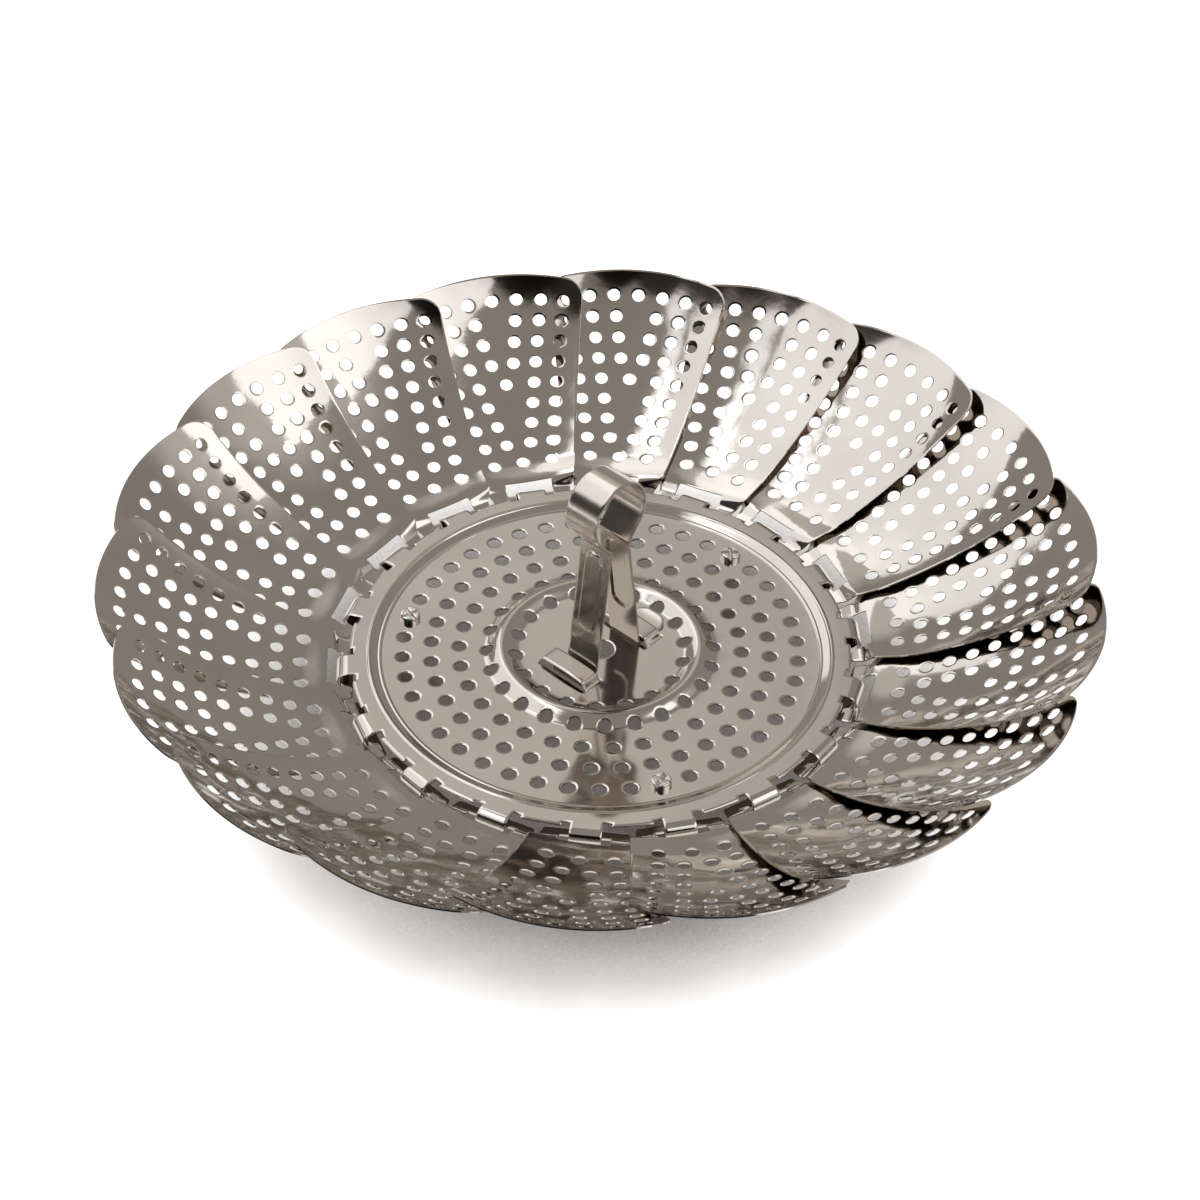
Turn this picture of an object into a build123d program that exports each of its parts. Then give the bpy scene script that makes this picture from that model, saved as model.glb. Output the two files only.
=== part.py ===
from build123d import *
import os
from math import atan2, cos, degrees, hypot, pi, radians, sin, sqrt

# Expanding steamer basket: a perforated base plate on three legs, eighteen hinged
# petals round its rim and a sprung strip handle in the middle.
# Millimetres, +Z up, origin on the axis at the height of the feet.
# +X points over leg_1, and the petals are drawn as they stand when the basket is open.

# Base plate sheet
plate_sheet = 0.5
floor_height = 20.0          # middle of the sheet of the perforated floor, above the feet
rim_rise = 1.0               # how far the flat rim stands above the floor
step_start_radius = 50.9     # where the floor turns up towards the rim
step_end_radius = 52.9
step_bend_radius = 0.9
rim_radius = 57.3
bead_radius = 22.8           # crest of the raised ring round the handle
bead_half_width = 3.5
bead_rise = 1.5

# Holes of the base plate
centre_hole_diameter = 6.4
plate_hole_diameter = 3.25
first_ring_radius = 19.5
ring_step = 6.5
ring_count = 5
first_ring_holes = 18
holes_added_per_ring = 6

# Hinges
petal_count = 18
hinge_radius = 58.2
barrel_inner_radius = 1.42
barrel_width = 7.0
barrel_sweep = 265.0         # degrees that the tab curls round the hinge bar
tab_root = 3.4               # length of the tab that lies on the rim
hinge_skew = 4.2             # degrees that each petal leans clockwise in plan

# Petals
petal_sheet = 0.4
petal_length = 62.2          # from the hinge axis to the tip, along the sheet
root_slope = 12.0            # degrees above level at the hinge
tip_slope = 46.0
petal_cross_radius = 68.0    # hollow of the leaf across its length
petal_tilt = 2.2             # degrees that the clockwise edge is raised
bar_half_depth = 1.35
bar_half_width = 9.3
window_depth = 3.6
window_half_width = 5.75
neck_start = 2.0             # distance from the axis where the neck starts to widen
shoulder_end = 5.2
neck_half_width = 10.1
shoulder_half_width = 12.13
tip_half_width = 24.8        # half width of the straight sides, carried out to the tip
tip_edge_radius = 58.0
corner_radius = 5.5

# Holes of the petals
petal_hole_diameter = 3.5
tip_row_inset = 6.6          # from the tip edge to the middle of the outer row
row_step = 5.55
row_count = 9
column_step = 5.55
last_row_half_spread = 7.2   # outer column in the innermost row, from the middle
column_splay_share = 0.24    # sideways drift of a column for each unit of length
inner_splay_share = 0.86     # the inner columns splay by this share of that
inner_column_rows = 4
middle_column_rows = 8
middle_hole_rows = (1, 5, 9)

# Handle
handle_sheet = 0.6
strip_width = 9.0
handle_shift = -1.05         # the strip stands this far along y in its bridges
handle_height = 50.8         # top of the loop above the floor
loop_outer_radius = 8.3
loop_end_angle = 40.0        # degrees below level where the loop turns straight
neck_half_gap = 2.8
neck_bend_radius = 0.9
leg_foot_spread = 7.2        # half the distance between the legs at the floor
foot_bend_radius = 1.0
front_foot_length = 5.2
back_foot_length = 10.4
foot_corner_radius = 3.4
rib_width = 5.4
rib_depth = 0.5
rib_wall = 0.45
rib_foot_gap = 9.2           # from the bend of the foot to the lower end of the rib
rib_neck_gap = 1.2

# Bridges of the base plate that hold the handle's feet
bridge_length = 12.7
bridge_width = 4.8
bridge_gap = 0.75            # height of the slot over the floor
bridge_leg_gap = 0.5         # from the leg of the handle to the edge of the bridge
bridge_ramp = 0.9
slot_relief = 0.25

# Legs
leg_circle_radius = 45.5
leg_count = 3
leg_diameter = 6.4
leg_foot_diameter = 5.4
leg_foot_taper = 3.0
leg_chamfer = 0.5
shank_clearance = 0.02
stake_diameter = 4.6
stake_height = 1.5
stake_edge = 0.35
stake_groove_width = 0.8
stake_groove_depth = 0.7
stake_groove_angles = (45, 135)

# One overrun for all cuts
overrun = 1.0

# Worked out from the sizes above
half_plate = plate_sheet / 2
floor_top = floor_height + half_plate
rim_height = floor_height + rim_rise
barrel_middle_radius = barrel_inner_radius + half_plate
hinge_height = rim_height - barrel_middle_radius
petal_angle = 360 / petal_count
bend_radius = petal_length / radians(tip_slope - root_slope)
tilt = radians(petal_tilt)
half_petal = petal_sheet / 2
side_slope = (tip_half_width - shoulder_half_width) / (petal_length - shoulder_end)

os.makedirs("parts", exist_ok=True)


def save(shape, name):
    """Write one named sub-part."""
    shape.label = name
    export_step(shape, "parts/" + name + ".step")
    print(name, "volume", round(shape.volume, 2))


def strip_section(middle_line, thickness):
    """Face of a bent strip of even thickness, from the middle line of its sheet."""
    left = middle_line.offset_2d(thickness / 2, side=Side.LEFT, closed=False)
    right = middle_line.offset_2d(thickness / 2, side=Side.RIGHT, closed=False)
    left_ends = (left @ 0, left @ 1)
    right_ends = (right @ 0, right @ 1)
    if (left_ends[0] - right_ends[0]).length > (left_ends[0] - right_ends[1]).length:
        right_ends = (right_ends[1], right_ends[0])
    caps = [Edge.make_line(a, b) for a, b in zip(left_ends, right_ends)]
    outline = Wire(left.edges() + right.edges() + caps)
    return Face(outline)


# Petals

def slope_at(along):
    """Slope of the petal in radians, at a distance along the sheet from the hinge axis."""
    return radians(root_slope) + along / bend_radius


def spine_point(along):
    """Point of the petal's middle line, seen from the hinge axis."""
    slope = slope_at(along)
    start = radians(root_slope)
    return Vector(bend_radius * (sin(slope) - sin(start)), 0, bend_radius * (cos(start) - cos(slope)))


def section_plane(along):
    """Plane across the petal, with x to its counter-clockwise side and y up out of the sheet."""
    slope = slope_at(along)
    return Plane(spine_point(along), x_dir=(0, 1, 0), z_dir=(cos(slope), 0, sin(slope)))


def leaf_point(along, across):
    """Point of the middle of the sheet, at distances measured on the sheet."""
    turn = across / petal_cross_radius - tilt
    side = petal_cross_radius * (sin(tilt) + sin(turn))
    rise = petal_cross_radius * (cos(tilt) - cos(turn))
    return section_plane(along).from_local_coords(Vector(side, rise, 0))


def leaf_plane(along, across):
    """Plane that touches the sheet at a point, with z out of the hollow side."""
    turn = across / petal_cross_radius - tilt
    section = section_plane(along)
    normal = section.y_dir * cos(turn) - section.x_dir * sin(turn)
    return Plane(leaf_point(along, across), x_dir=section.z_dir, z_dir=normal)


def leaf_band(half_width):
    """Cross-section of the leaf, in a section plane."""
    middle = Vector(petal_cross_radius * sin(tilt), petal_cross_radius * cos(tilt))
    spread = degrees(half_width / petal_cross_radius)
    first = -90 - petal_tilt - spread
    low = Edge.make_circle(
        petal_cross_radius + half_petal, Plane(middle), start_angle=first, end_angle=first + 2 * spread
    )
    high = Edge.make_circle(
        petal_cross_radius - half_petal, Plane(middle), start_angle=first, end_angle=first + 2 * spread
    )
    sides = [Edge.make_line(low @ share, high @ share) for share in (0, 1)]
    return Face(Wire([low, sides[1], high, sides[0]]))


def outline_corner():
    """Centre of the tip corner's round, and where it meets the side and the tip edge."""
    steep = sqrt(1 + side_slope ** 2)
    edge_middle = petal_length - tip_edge_radius
    width_there = shoulder_half_width + side_slope * (edge_middle - shoulder_end) - corner_radius * steep
    reach = tip_edge_radius - corner_radius
    product = width_there * side_slope
    square = product ** 2 - steep ** 2 * (width_there ** 2 - reach ** 2)
    ahead = (sqrt(square) - product) / steep ** 2
    middle = Vector(edge_middle + ahead, width_there + side_slope * ahead)
    to_side = Vector(-side_slope, 1) * (corner_radius / steep)
    to_tip = Vector(ahead, middle.Y) * (corner_radius / reach)
    to_middle = (to_side + to_tip).normalized() * corner_radius
    return middle + to_side, middle + to_middle, middle + to_tip


def tip_outline():
    """Prism that trims the leaf beyond its shoulders to its outline."""
    middle = section_plane(petal_length / 2)
    view = Plane(middle.origin, x_dir=middle.z_dir, z_dir=middle.y_dir)

    def seen(along, across):
        """A point of the sheet, seen square to the middle of the leaf."""
        point = view.to_local_coords(leaf_point(along, across))
        return Vector(point.X, point.Y)

    side_end, corner, tip_start = outline_corner()
    half_side = (shoulder_end + side_end.X) / 2
    half_side_width = shoulder_half_width + side_slope * (half_side - shoulder_end)
    edges = []
    ends = []
    for way in (1, -1):
        start = shoulder_end - overrun
        start_width = shoulder_half_width - side_slope * overrun
        back = seen(start, way * start_width)
        side_stop = seen(side_end.X, way * side_end.Y)
        tip_stop = seen(tip_start.X, way * tip_start.Y)
        edges.append(Edge.make_three_point_arc(back, seen(half_side, way * half_side_width), side_stop))
        edges.append(Edge.make_three_point_arc(side_stop, seen(corner.X, way * corner.Y), tip_stop))
        ends.append((back, tip_stop))
    edges.append(Edge.make_line(ends[0][0], ends[1][0]))
    edges.append(Edge.make_three_point_arc(ends[0][1], seen(petal_length, 0), ends[1][1]))
    outline = view * Face(Wire(edges))
    return extrude(outline, amount=petal_length / 2, both=True)


def petal_hole_places():
    """Middle of each hole of a petal, as distances along and across the sheet."""
    last_row = petal_length - tip_row_inset - (row_count - 1) * row_step
    places = []
    for row in range(1, row_count + 1):
        rows_left = row_count - row
        drift = rows_left * row_step * column_splay_share
        outer = last_row_half_spread + drift
        offsets = [outer]
        if row <= middle_column_rows:
            offsets.append(outer - column_step)
        if row <= inner_column_rows:
            meeting = (row_count - inner_column_rows) * row_step * column_splay_share
            closest = last_row_half_spread + meeting - 2 * column_step
            splay = (inner_column_rows - row) * row_step * column_splay_share * inner_splay_share
            offsets.append(closest + splay)
        offsets += [-offset for offset in offsets]
        if row in middle_hole_rows:
            offsets.append(0)
        for offset in offsets:
            sag = tip_edge_radius - sqrt(tip_edge_radius ** 2 - offset ** 2)
            places.append((last_row + rows_left * row_step - sag, offset))
    return places


def petal():
    """One petal in the frame of its hinge: y along the bar, x outwards, z up."""
    level = section_plane(0)
    shoulder = section_plane(shoulder_end)
    swing = Axis(level.origin + level.y_dir * bend_radius, (0, -1, 0))
    angle = degrees((petal_length + overrun - shoulder_end) / bend_radius)
    leaf = revolve(shoulder * leaf_band(tip_half_width + overrun), axis=swing, revolution_arc=angle)
    leaf = leaf & tip_outline()
    flat = Plane(level.origin, x_dir=level.z_dir, z_dir=level.y_dir)
    bar_outline = Polygon(
        (-bar_half_depth, -bar_half_width),
        (neck_start, -neck_half_width),
        (neck_start, neck_half_width),
        (-bar_half_depth, bar_half_width),
        align=None,
    )
    bar = extrude(flat * bar_outline, amount=half_petal, both=True)
    neck_plane = Plane(level.origin + level.z_dir * neck_start, x_dir=level.x_dir, z_dir=level.z_dir)
    neck_end = (neck_plane * Rectangle(2 * neck_half_width, petal_sheet)).face().outer_wire()
    leaf_end = leaf.faces().sort_by_distance(shoulder.origin)[0].outer_wire()
    neck = Solid.make_loft([neck_end, leaf_end], ruled=True)
    blank = leaf + bar + neck
    window_middle = bar_half_depth + window_depth / 2
    window = section_plane(window_middle) * Box(2 * window_half_width, 2 * barrel_width, window_depth)
    drill = Cylinder(petal_hole_diameter / 2, 2 * overrun)
    holes = [leaf_plane(along, across) * drill for along, across in petal_hole_places()]
    return (blank - window) - holes


# Base plate

def plate_profile():
    """Middle line of the plate's sheet in the XZ plane, from its centre to the rim."""
    crest = Vector(bead_radius, 0, floor_height + bead_rise)
    quarter_width = bead_half_width / 2
    quarter_rise = bead_rise / 2
    bead_points = []
    for way in (-1, 1):
        foot = Vector(bead_radius + way * bead_half_width, 0, floor_height)
        middle = Vector(bead_radius + way * quarter_width, 0, floor_height + quarter_rise)
        bead_points.append((foot, middle))
    flank = atan2(bead_rise, bead_half_width)
    bend = hypot(quarter_width, quarter_rise) / 2 / sin(flank)
    sweep = 2 * flank

    def on_bend(centre, angle):
        """Point of a bead bend at an angle from upright."""
        return centre + Vector(bend * sin(angle), 0, bend * cos(angle))

    edges = []
    inner_foot, inner_middle = bead_points[0]
    outer_foot, outer_middle = bead_points[1]
    inner_centre = inner_foot + Vector(0, 0, bend)
    outer_centre = outer_foot + Vector(0, 0, bend)
    edges.append(Edge.make_line(Vector(0, 0, floor_height), inner_foot))
    edges.append(Edge.make_three_point_arc(inner_foot, on_bend(inner_centre, pi - sweep / 2), inner_middle))
    edges.append(Edge.make_three_point_arc(inner_middle, crest, outer_middle))
    edges.append(Edge.make_three_point_arc(outer_middle, on_bend(outer_centre, pi + sweep / 2), outer_foot))
    step = FilletPolyline(
        outer_foot,
        Vector(step_start_radius, 0, floor_height),
        Vector(step_end_radius, 0, rim_height),
        Vector(rim_radius, 0, rim_height),
        radius=step_bend_radius,
    )
    return Wire(edges + list(step.edges()))


def plate_blank():
    """The dished round sheet."""
    line = plate_profile()
    upright = Plane.XZ
    flat = Wire([upright.to_local_coords(edge) for edge in line.edges()])
    section = strip_section(flat, plate_sheet)
    return revolve(upright * section, axis=Axis.Z)


def hinge_location(index):
    """Place of one hinge, with y along its bar and x out over the petal."""
    turned = Location((0, 0, 0), (0, 0, index * petal_angle))
    return turned * Location((hinge_radius, 0, hinge_height), (0, 0, -hinge_skew))


def barrel():
    """One rim tab curled round its petal's bar, in the frame of the hinge."""
    root = Vector(-tab_root, barrel_middle_radius)
    top = Vector(0, barrel_middle_radius)
    straight = Edge.make_line(root, top)
    stop = radians(90 - barrel_sweep)
    half_way = radians(90 - barrel_sweep / 2)
    curl = Edge.make_three_point_arc(
        top,
        Vector(cos(half_way), sin(half_way)) * barrel_middle_radius,
        Vector(cos(stop), sin(stop)) * barrel_middle_radius,
    )
    section = strip_section(Wire([straight, curl]), plate_sheet)
    return extrude(Plane.XZ * section, amount=barrel_width / 2, both=True)


def plate_hole_places():
    """Middle of each hole in the rings, leaving out the places of the legs."""
    places = []
    for ring in range(ring_count):
        radius = first_ring_radius + ring * ring_step
        count = first_ring_holes + ring * holes_added_per_ring
        for number in range(count):
            at_leg = ring == ring_count - 1 and number % (count // leg_count) == 0
            if not at_leg:
                places.append((radius, 360 / count * number))
    return places


def bridge_places():
    """Middle of each bridge along x."""
    middle = leg_foot_spread + handle_sheet / 2 + bridge_leg_gap + bridge_width / 2
    return [-middle, middle]


def bridge(middle):
    """Raised strip of the floor over a foot of the handle."""
    half = bridge_length / 2
    top = bridge_gap + handle_sheet + plate_sheet
    line = FilletPolyline(
        Vector(-half - bridge_ramp - overrun, 0),
        Vector(-half - bridge_ramp, 0),
        Vector(-half, top),
        Vector(half, top),
        Vector(half + bridge_ramp, 0),
        Vector(half + bridge_ramp + overrun, 0),
        radius=half_plate + slot_relief,
    )
    section = strip_section(Wire(line.edges()), plate_sheet)
    place = Plane((middle, 0, floor_height), x_dir=(0, 1, 0), z_dir=(1, 0, 0))
    return extrude(place * section, amount=bridge_width / 2, both=True)


def base_plate():
    """Floor, bead, rim, bridges and hinge barrels as one stamping."""
    drill = Cylinder(plate_hole_diameter / 2, 2 * (bead_rise + overrun))
    tools = [Pos(0, 0, floor_height) * Cylinder(centre_hole_diameter / 2, 2 * overrun)]
    for radius, angle in plate_hole_places():
        tools.append(Rot(0, 0, angle) * Pos(radius, 0, floor_height) * drill)
    for number in range(leg_count):
        leg_hole = Cylinder(plate_hole_diameter / 2, 2 * overrun)
        tools.append(Rot(0, 0, 360 / leg_count * number) * Pos(leg_circle_radius, 0, floor_height) * leg_hole)
    slot_length = bridge_length + 2 * bridge_ramp
    for middle in bridge_places():
        slot = Box(bridge_width + 2 * slot_relief, slot_length, 2 * overrun)
        tools.append(Pos(middle, 0, floor_height) * slot)
    plate = plate_blank() - tools
    added = [bridge(middle) for middle in bridge_places()]
    curl = barrel()
    for index in range(petal_count):
        added.append(hinge_location(index) * curl)
    return plate + added


# Handle

def handle_line():
    """Middle line of the strip in the XZ plane, as sketch points with y up."""
    loop_radius = loop_outer_radius - handle_sheet / 2
    loop_height = floor_top + handle_height - loop_outer_radius
    sole = floor_top + handle_sheet / 2
    end = radians(loop_end_angle)
    edges = []
    leave = Vector(loop_radius * cos(end), loop_height - loop_radius * sin(end))
    neck_x = neck_half_gap
    run = (leave.X - neck_x) / sin(end)
    neck = Vector(neck_x, leave.Y - run * cos(end))
    ribs = []
    for way, foot_length in ((-1, front_foot_length), (1, back_foot_length)):
        side = FilletPolyline(
            Vector(way * leave.X, leave.Y),
            Vector(way * neck.X, neck.Y),
            Vector(way * leg_foot_spread, sole),
            Vector(way * (leg_foot_spread + foot_length), sole),
            radius=(neck_bend_radius, foot_bend_radius),
        )
        edges += list(side.edges())
        ribs.append((Vector(way * neck.X, neck.Y), Vector(way * leg_foot_spread, sole), way))
    edges.append(
        Edge.make_three_point_arc(
            Vector(-leave.X, leave.Y), Vector(0, loop_height + loop_radius), Vector(leave.X, leave.Y)
        )
    )
    return Wire(edges), ribs


def handle():
    """The bent strip, with a pressed rib down each leg."""
    line, ribs = handle_line()
    section = strip_section(line, handle_sheet)
    strip = extrude(Plane.XZ * section, amount=strip_width / 2, both=True)
    back_tip = leg_foot_spread + back_foot_length
    for way in (-1, 1):
        corner = Box(foot_corner_radius, foot_corner_radius, 2 * overrun)
        round_off = Cylinder(foot_corner_radius, 2 * overrun)
        centre = (back_tip - foot_corner_radius, way * (strip_width / 2 - foot_corner_radius), floor_top)
        block = Pos(back_tip - foot_corner_radius / 2, way * (strip_width - foot_corner_radius) / 2, floor_top)
        strip -= (block * corner) - (Pos(*centre) * round_off)
    for top, foot, way in ribs:
        along = (foot - top).normalized()
        upper = top + along * (rib_neck_gap + rib_width / 2)
        lower = foot - along * (rib_foot_gap + rib_width / 2)
        middle = (upper + lower) / 2
        length = (lower - upper).length
        outward = Vector(-along.Y, along.X) * way
        pad = SlotCenterToCenter(length, rib_width)
        inner_pad = SlotCenterToCenter(length, rib_width - 2 * rib_wall)
        leg_plane = Plane(
            (middle.X, 0, middle.Y), x_dir=(along.X, 0, along.Y), z_dir=(outward.X, 0, outward.Y)
        )
        behind = leg_plane.offset(-handle_sheet / 2 - overrun)
        raised = extrude(leg_plane * pad, amount=handle_sheet / 2 + rib_depth)
        hollow = extrude(behind * inner_pad, amount=overrun + rib_depth)
        strip = (strip + raised) - hollow
    return Pos(0, handle_shift, 0) * strip


# Legs

def leg():
    """One post under the floor, staked over on top of it, on the axis of its own hole."""
    under = floor_height - half_plate
    barrel_length = under - leg_foot_taper
    post = Pos(0, 0, leg_foot_taper + barrel_length / 2) * Cylinder(leg_diameter / 2, barrel_length)
    taper = Pos(0, 0, leg_foot_taper / 2) * Cone(leg_foot_diameter / 2, leg_diameter / 2, leg_foot_taper)
    body = post + taper
    body = chamfer(body.edges().sort_by(Axis.Z)[0], leg_chamfer)
    shank_radius = plate_hole_diameter / 2 - shank_clearance
    shank = Pos(0, 0, floor_height) * Cylinder(shank_radius, plate_sheet + 2 * shank_clearance)
    head = Pos(0, 0, floor_top + stake_height / 2) * Cylinder(stake_diameter / 2, stake_height)
    head = fillet(head.edges().group_by(Axis.Z)[-1], stake_edge)
    groove = Box(stake_diameter + overrun, stake_groove_width, 2 * stake_groove_depth)
    for angle in stake_groove_angles:
        head -= Rot(0, 0, angle) * Pos(0, 0, floor_top + stake_height) * groove
    return body + shank + head


save(base_plate(), "base_plate")

single_petal = petal()
for petal_number in range(petal_count):
    placed = hinge_location(petal_number) * single_petal
    save(placed, "petal_%02d" % (petal_number + 1))

save(handle(), "handle")

single_leg = leg()
for leg_number in range(leg_count):
    placed = Rot(0, 0, 360 / leg_count * leg_number) * Pos(leg_circle_radius, 0, 0) * single_leg
    save(placed, "leg_%d" % (leg_number + 1))
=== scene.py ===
from math import atan2, cos, hypot, pi, radians, sin, sqrt

import bmesh
import bpy
from mathutils import Matrix, Vector


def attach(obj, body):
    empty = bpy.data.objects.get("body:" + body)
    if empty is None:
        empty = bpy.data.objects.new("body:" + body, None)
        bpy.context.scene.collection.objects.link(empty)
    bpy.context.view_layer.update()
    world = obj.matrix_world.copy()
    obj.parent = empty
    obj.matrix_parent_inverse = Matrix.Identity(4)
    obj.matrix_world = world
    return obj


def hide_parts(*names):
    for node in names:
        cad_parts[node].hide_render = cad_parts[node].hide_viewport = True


# An expanding steamer basket of polished stainless sheet. Every sheet starts as a flat blank with
# its holes cut, is bent in millimetres to its place on the basket, and ends in metres. Sizes are
# in millimetres where no comment says otherwise.

MM = 0.001

# Base plate
PLATE_SHEET = 0.5
PLATE_LEVEL = 20.0
RIM_RISE = 1.0
STEP_START = 50.9
STEP_END = 52.9
STEP_SOFTNESS = 0.4
STEP_LINES = (50.75, 53.2)
LINE_HALF_WIDTH = 0.5
LINE_RISE = 0.2
RIM_RADIUS = 57.6
LIP_START = 56.9
LIP_BEND = 0.9
BEAD_RADIUS = 22.8
BEAD_HALF_WIDTH = 3.35
BEAD_RISE = 1.62
BEAD_CREST_SOFTNESS = 1.5
BEAD_FOOT_SOFTNESS = 0.4
CENTRE_HOLE_RADIUS = 3.2
PLATE_HOLE_RADIUS = 1.625
FIRST_RING_RADIUS = 19.5
RING_STEP = 6.5
RING_COUNT = 5
FIRST_RING_HOLES = 18
HOLES_ADDED = 6

# Hinges: the bar of each petal lies in a hooked tab of the rim
PETAL_COUNT = 18
HINGE_RADIUS = 58.2
BAR_CLEARANCE = 1.42
TAB_WIDTH = 7.0
TAB_CORNER = 0.4
HOOK_START = -0.2
HOOK_RADIUS = 2.7
HOOK_SWEEP = radians(58)
CURL_RADIUS = 1.35
CURL_SWEEP = radians(122)
HINGE_SKEW = radians(4.2)
NOTCH_WIDTH = 2.0
NOTCH_DEPTH = 0.9

# Petals: lengths run from the hinge axis to the tip, and rows of holes are counted from the tip
PETAL_SHEET = 0.4
PETAL_LENGTH = 62.2
ROOT_SLOPE = radians(12)
TIP_SLOPE = radians(46)
CROSS_RADIUS = 68.0
PETAL_TILT = radians(2.2)
BAR_HALF_DEPTH = 1.35
BAR_HALF_WIDTH = 9.3
BAR_CHAMFER = 0.5
WINDOW_DEPTH = 3.6
WINDOW_HALF_WIDTH = 5.75
WINDOW_CORNER = 0.4
NECK_START = 2.0
SHOULDER = 5.2
ROOT_LIFT = 0.6
ROOT_PULL = 0.3
ROOT_STEP_START = 1.5
ROOT_STEP_END = 4.2
ROOT_BLEND_END = 12.0
NECK_HALF_WIDTH = 10.1
SHOULDER_HALF_WIDTH = 12.13
TIP_HALF_WIDTH = 24.8
TIP_EDGE_RADIUS = 58.0
CORNER_RADIUS = 5.5
PETAL_HOLE_RADIUS = 1.55
TIP_ROW_INSET = 6.6
ROW_STEP = 5.55
ROW_COUNT = 9
LAST_ROW_SPREAD = 7.2
COLUMN_SPLAY = 0.24
INNER_SPLAY_SHARE = 0.86
INNER_ROWS = 4
MIDDLE_ROWS = 8
MIDDLE_HOLE_ROWS = (1, 5, 9)

# Handle: one strip with a pressed rib on each leg, which comes after two runs from either end
HANDLE_SHEET = 0.6
STRIP_WIDTH = 9.0
HANDLE_SHIFT = -1.05
HANDLE_HEIGHT = 50.8
LOOP_RADIUS = 8.3
LOOP_END = radians(40)
NECK_HALF_GAP = 2.8
NECK_BEND = 0.9
LEG_SPREAD = 7.2
FOOT_BEND = 1.0
FRONT_FOOT = 5.2
BACK_FOOT = 10.4
FOOT_CORNER = 3.4
STRIP_CORNER = 0.5
RIB_WIDTH = 5.4
RIB_WALL = 0.6
RIB_DEPTH = 0.48
RIB_FOOT_GAP = 9.2
RIB_NECK_GAP = 1.2
RUNS_BEFORE_LEG = 2
FOOT_LIFT = 0.4
FOOT_LIFT_LENGTH = 5.0

# Bridges over the handle's feet
BRIDGE_LENGTH = 12.7
BRIDGE_WIDTH = 4.8
BRIDGE_GAP = 0.75
BRIDGE_LEG_GAP = 0.5
BRIDGE_RAMP = 0.9
SLOT_WIDTH = 0.25
BRIDGE_SOFTNESS = 0.2
BRIDGE_CROWN = 0.35

# Legs below the plate, each with a staked head above it
LEG_CIRCLE = 45.5
LEG_COUNT = 3
LEG_RADIUS = 3.2
LEG_FOOT_RADIUS = 2.7
LEG_TAPER = 3.0
LEG_CHAMFER = 0.5
STAKE_RADIUS = 2.3
STAKE_HEIGHT = 1.5
STAKE_EDGE = 0.35
STAKE_GROOVE = 0.55
STAKE_DEPTH = 0.85
GROOVE_TURNS = (pi / 4, 3 * pi / 4)

# Eased edges: the widths of the two rings inside each edge, how far the edge of each sheet is
# rolled down, and the share of that at the first ring
EDGE_RINGS = (0.14, 0.45)
FIRST_RING_SHARE = 0.35
PLATE_ROLL = 0.11
PETAL_ROLL = 0.05
STRIP_ROLL = 0.11
UNDER_ROLL = 0.03

# Gaps between the cuts that let a blank bend, and how far they go past what they shape
ROOT_CUT_GAP = 0.45
PETAL_CUT_GAP = 2.4
PLATE_CUT_GAP = 5.2
BRIDGE_CUT_GAP = 0.16
BRIDGE_CUT_MARGIN = 0.5
BRIDGE_CROWN_REACH = 4.0
BEAD_CUT_GAP = 0.4
STEP_CUT_GAP = 0.14
ROUND_CUT_MARGIN = 0.6
LIP_CUT_GAP = 0.22
HOOK_CUT_GAP = 0.4
STRIP_CUT_GAP = 3.0
STRIP_CUT_TURN = radians(7)
RIB_WALL_CUT_GAP = 0.2
RIB_END_CUT_GAP = 0.5
RIB_SIDE_CUT_GAP = 0.12
RIB_SIDE_CUT_MARGIN = 0.06
RIB_MIDDLE_REACH = 1.5

# Sides of the round forms, and spans of the rounded stretches
HOLE_SIDES = 24
LEG_SIDES = 48
STAKE_SIDES = 64
RIM_SPANS = 8
WINDOW_CORNER_SPANS = 3
PETAL_CORNER_SPANS = 10
PETAL_TIP_SPANS = 40
BRIDGE_CROWN_SPANS = 4
STRIP_CORNER_SPANS = 4
FOOT_CORNER_SPANS = 10
RIB_MIDDLE_SPANS = 3
STAKE_EDGE_SPANS = 5
STAKE_WALL_SPANS = 4
STAKE_TOP_SPANS = 9

# The distance below which two points are one, the step that measures a slope, and the turn
# between two faces from which their edge stays sharp
TOUCH = 0.0001
SLOPE_STEP = 0.02
CREASE = radians(38)

# Noise patterns of the steel, each as a scale and a detail, and the span that their values fill
TONE_PATTERN = (38, 3)
GLOSS_PATTERN = (90, 5)
RELIEF_PATTERNS = ((55, 1), (260, 2), (2400, 2))
GRAIN_PATTERN = (1, 2)
PATTERN_LOW = 0.3
PATTERN_HIGH = 0.7

# Sockets of a Mix node that mixes colours
MIX_FIRST = 6
MIX_SECOND = 7
MIX_RESULT = 2

# Studio floor, in metres: pale paper that glows where it is seen. Close to the basket its colour
# and its glow are darkened as painted shade. Each painted shade tone is a share of open space round a
# point of the paper, and the paper's tone there.
STAGE_SIZE = 4
STAGE_GLOW = 0.8
PAPER_PATTERN = (3, 2)
PAPER_TONES = (0.9, 0.93)
PAPER_ROUGHNESS = 0.9
SHADE_REACH = 0.032
SHADE_SAMPLES = 12
PAINTED_SHADE_TONES = (
    (0.3, (0.06, 0.052, 0.046, 1)),
    (0.55, (0.13, 0.113, 0.1, 1)),
    (0.95, (1, 1, 1, 1)),
)

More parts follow.
